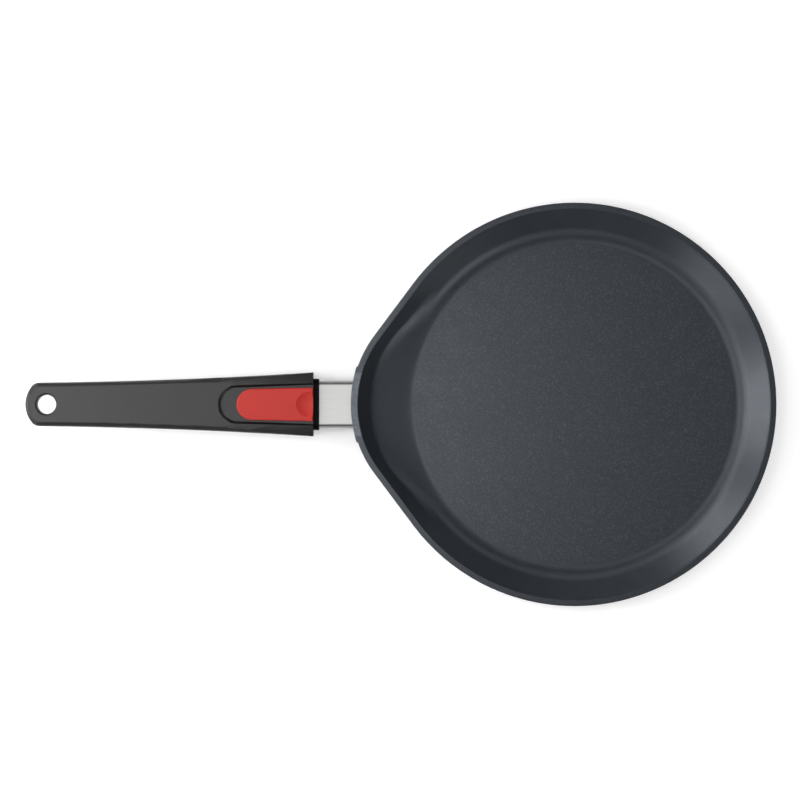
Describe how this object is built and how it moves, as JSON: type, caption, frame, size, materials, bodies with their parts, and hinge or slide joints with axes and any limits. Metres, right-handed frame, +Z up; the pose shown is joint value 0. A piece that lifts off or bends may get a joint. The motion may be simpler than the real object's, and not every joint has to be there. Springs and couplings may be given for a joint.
{
  "type": "crepe pan",
  "caption": "Low round frying pan with a flat nose, a steel neck and a waisted handle that slides off when its red button is drawn back.",
  "frame": {"origin": "centre of the round base, on the face the pan stands on", "axes": "+Z up out of the pan, -X along the handle from the pan's centre to the handle's tail, +Y to the left of someone who holds the handle and looks at the pan"},
  "size_m": [0.5207, 0.28, 0.0301],
  "materials": {
    "coated_casting": "matt dark grey non-stick coating with a fine sparkle on cast aluminium",
    "neck_steel": "satin stainless sheet",
    "latch_steel": "plain stainless steel",
    "fastener_steel": "bright stainless steel",
    "grip_moulding": "satin black heat-proof moulding",
    "collar_moulding": "deep black moulding",
    "button_moulding": "satin red moulding"
  },
  "bodies": {
    "pan": {"pan_body": "coated_casting", "neck_sleeve": "neck_steel", "tongue": "latch_steel", "tongue_screws": "fastener_steel"},
    "handle": {"handle_grip": "grip_moulding", "handle_collar": "collar_moulding", "latch_frame": "latch_steel", "catch_leaf": "latch_steel", "leaf_rivets": "fastener_steel", "frame_screws": "fastener_steel", "spring_guide": "latch_steel", "return_spring": "latch_steel"},
    "button": {"release_button": "button_moulding", "button_slide": "latch_steel", "button_screws": "fastener_steel"}
  },
  "joints": [
    {"name": "handle_pull", "type": "slide", "parent": "pan", "child": "handle", "axis": [-1, 0, 0], "range_m": [0, 0.062]},
    {"name": "button_travel", "type": "slide", "parent": "handle", "child": "button", "axis": [-1, 0, 0], "range_m": [0, 0.01], "stiffness_N_per_m": 400, "springref_m": -0.0075, "deforming": ["return_spring", "catch_leaf"]}
  ]
}
